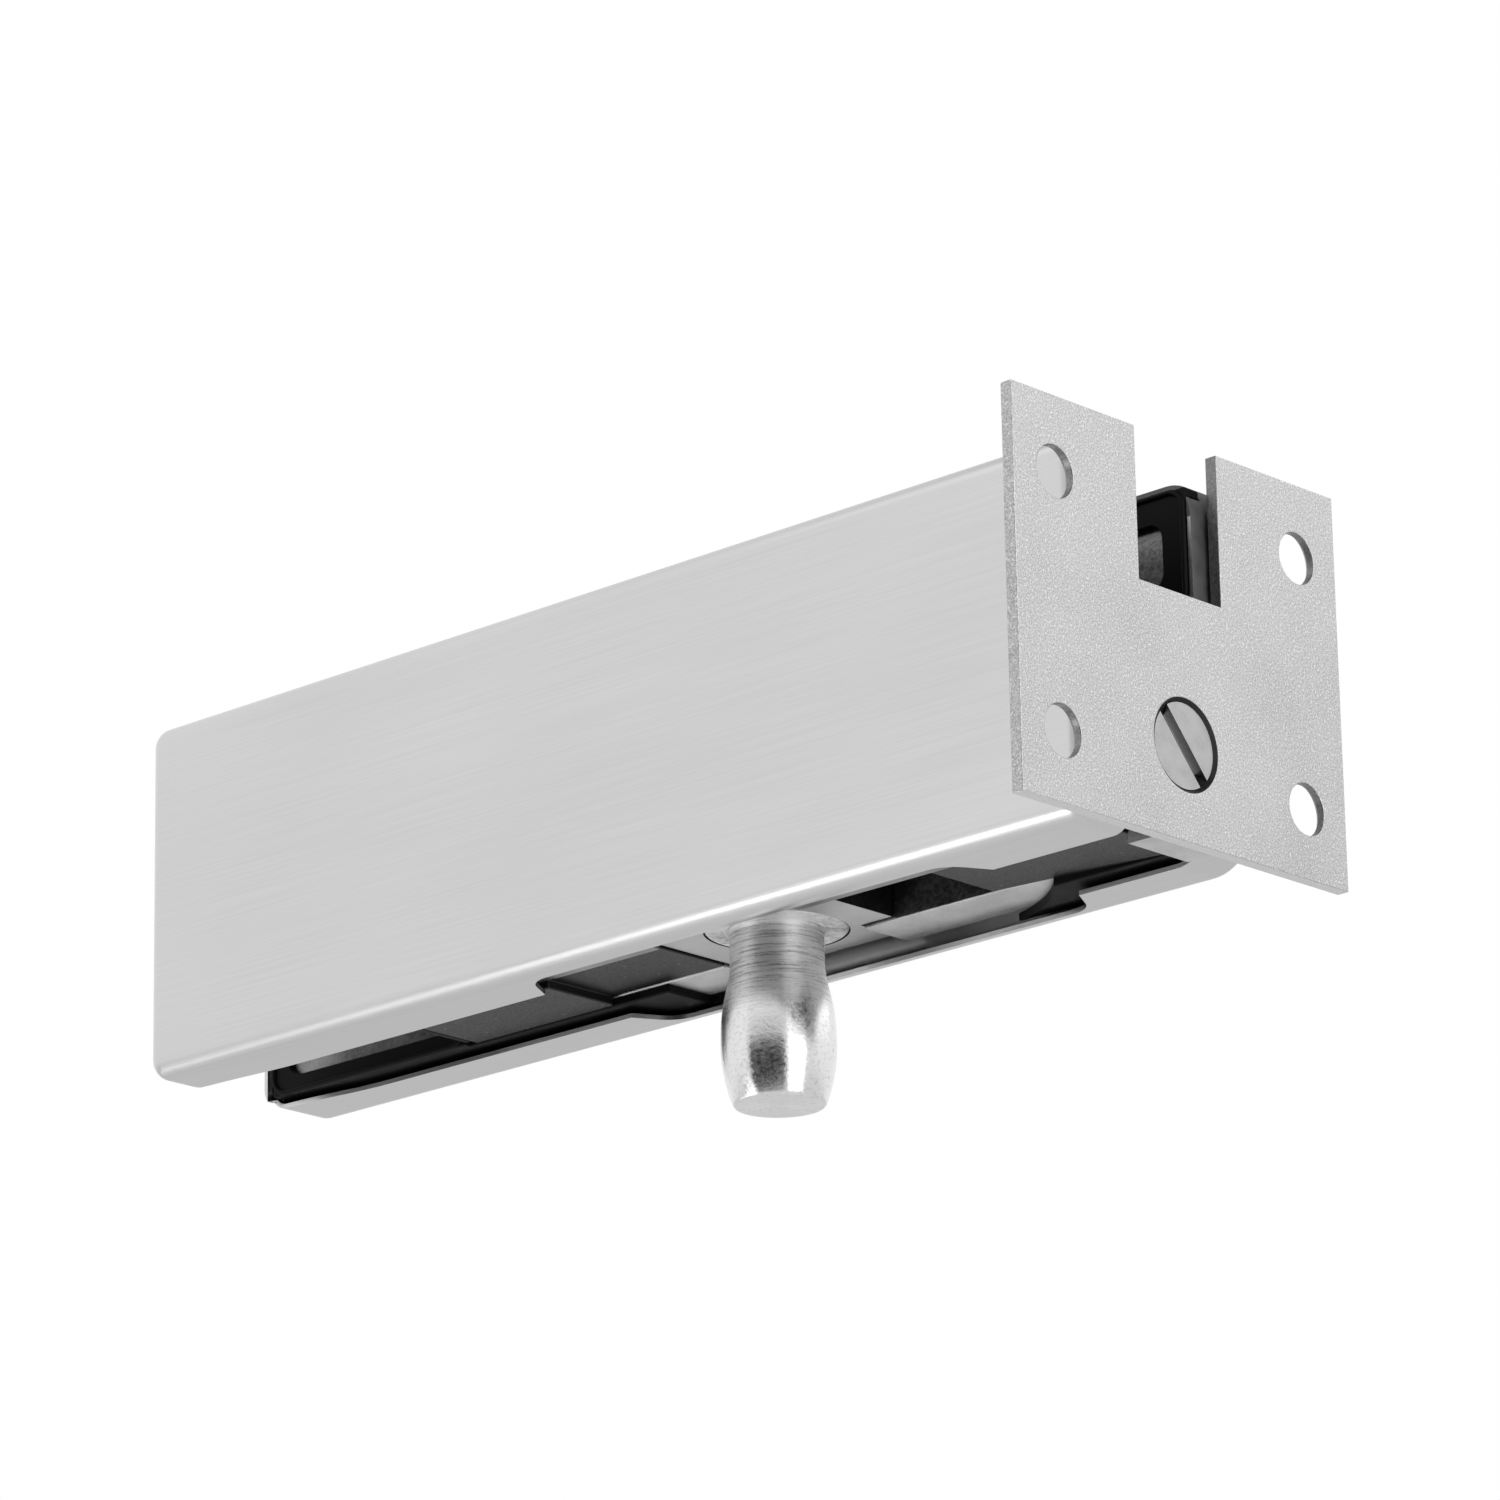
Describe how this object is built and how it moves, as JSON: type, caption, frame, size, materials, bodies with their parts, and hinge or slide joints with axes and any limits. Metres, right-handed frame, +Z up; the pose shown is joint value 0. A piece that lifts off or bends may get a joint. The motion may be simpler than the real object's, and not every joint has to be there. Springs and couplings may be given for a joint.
{
  "type": "glass patch fitting",
  "caption": "Overpanel glass patch fitting with a downward pivot pin, clamping liners, satin steel covers and a slotted wall plate.",
  "frame": {"origin": "on the pivot pin's axis, at the middle of its crowned barrel's cylindrical land", "axes": "+X along the fitting towards the wall plate, +Y to the rear cover, +Z up into the overpanel glass; the pin points down"},
  "size_m": [0.1662, 0.0604, 0.0704],
  "materials": {
    "cover": "satin brushed stainless steel sheet",
    "cast_body": "raw die-cast aluminium",
    "moulded_filler": "smooth black glass-filled nylon",
    "liner": "matt black rubber",
    "cast_block": "machined aluminium casting",
    "turned_pin": "turned bright steel",
    "black_screw": "blackened steel",
    "plated_steel": "bright zinc plated steel",
    "blasted_plate": "zinc plated steel sheet with a fine grain",
    "spring_steel": "bare spring steel strip"
  },
  "bodies": {
    "root": {"front_cover": "cover", "rear_cover": "cover", "front_clamp_body": "cast_body", "rear_clamp_body": "cast_body", "notch_filler": "moulded_filler", "front_liner": "liner", "rear_liner": "liner", "front_lip_strip": "liner", "rear_lip_strip": "liner", "glass_edge_liner": "liner", "pivot_block": "cast_block", "pivot_pin": "turned_pin", "pin_set_screw": "black_screw", "clamp_screws": "black_screw", "wall_plate": "blasted_plate", "wall_plate_spacer": "cast_block", "wall_plate_screw": "plated_steel", "front_cover_clips": "spring_steel", "rear_cover_clips": "spring_steel"}
  },
  "joints": []
}
